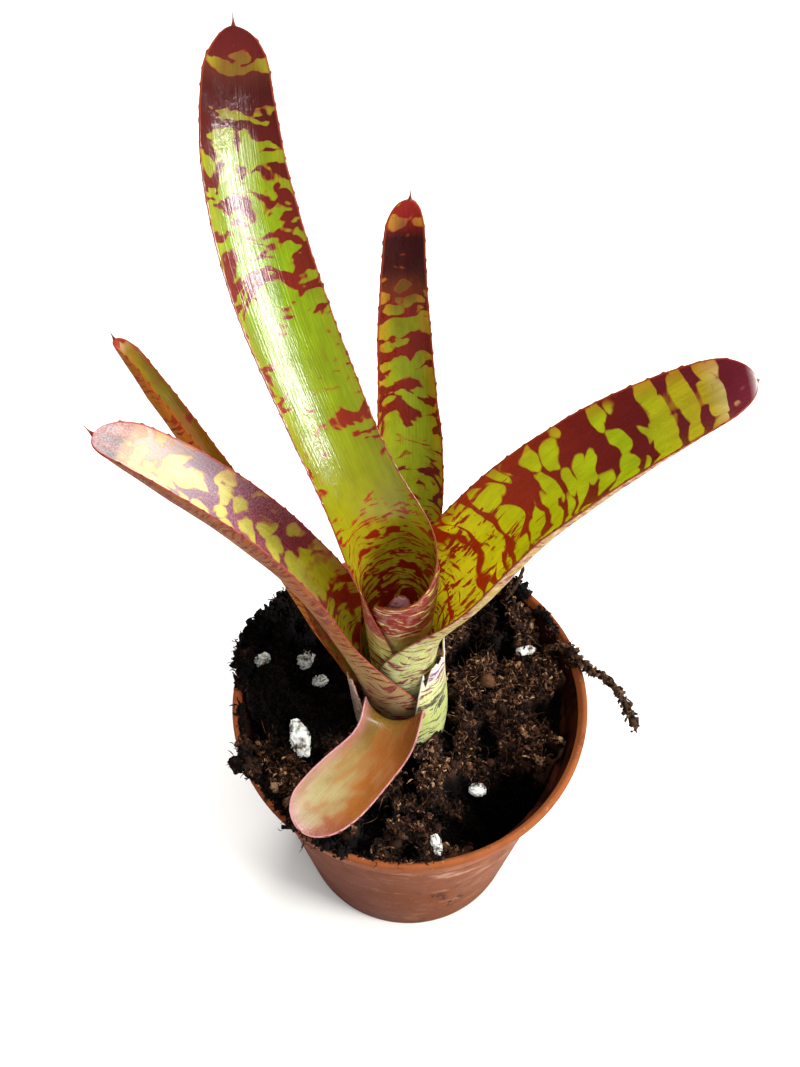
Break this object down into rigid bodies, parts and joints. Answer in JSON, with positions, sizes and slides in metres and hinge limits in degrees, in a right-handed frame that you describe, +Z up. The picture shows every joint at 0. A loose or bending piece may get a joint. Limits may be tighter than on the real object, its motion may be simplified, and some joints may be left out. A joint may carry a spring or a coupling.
{
  "type": "potted neoregelia bromeliad",
  "caption": "Potted bromeliad: banded strap leaves fanning from a short tube of nested leaf bases, standing in soil in a tapered plastic nursery pot.",
  "frame": {"origin": "centre of the pot's flat base, on the ground", "axes": "+Z up along the pot's axis, +Y towards the back of the plant, +X towards the long right-hand leaf"},
  "size_m": [0.1299, 0.1111, 0.2249],
  "materials": {
    "plastic": "satin terracotta-coloured plastic, scuffed and dusty",
    "soil": "damp, dark and fibrous potting soil",
    "perlite": "dull white, porous",
    "leaf": "waxy, half-gloss, lime green with dark red bands and blotches",
    "old_leaf": "pale yellow and orange-brown, satin",
    "stem": "pale, hidden inside the leaf bases",
    "root": "dark brown, rough and dry"
  },
  "bodies": {
    "root": {"pot": "plastic", "soil": "soil", "stem": "stem", "leaf_heart": "leaf", "leaf_tall": "leaf", "leaf_right": "leaf", "leaf_back": "leaf", "leaf_left": "leaf", "leaf_far_left": "leaf", "leaf_front": "old_leaf", "sheath_right": "old_leaf", "sheath_left": "old_leaf", "perlite_1": "perlite", "perlite_2": "perlite", "perlite_3": "perlite", "perlite_4": "perlite", "perlite_5": "perlite", "perlite_6": "perlite", "perlite_7": "perlite", "root_1": "root", "root_2": "root"}
  },
  "joints": []
}
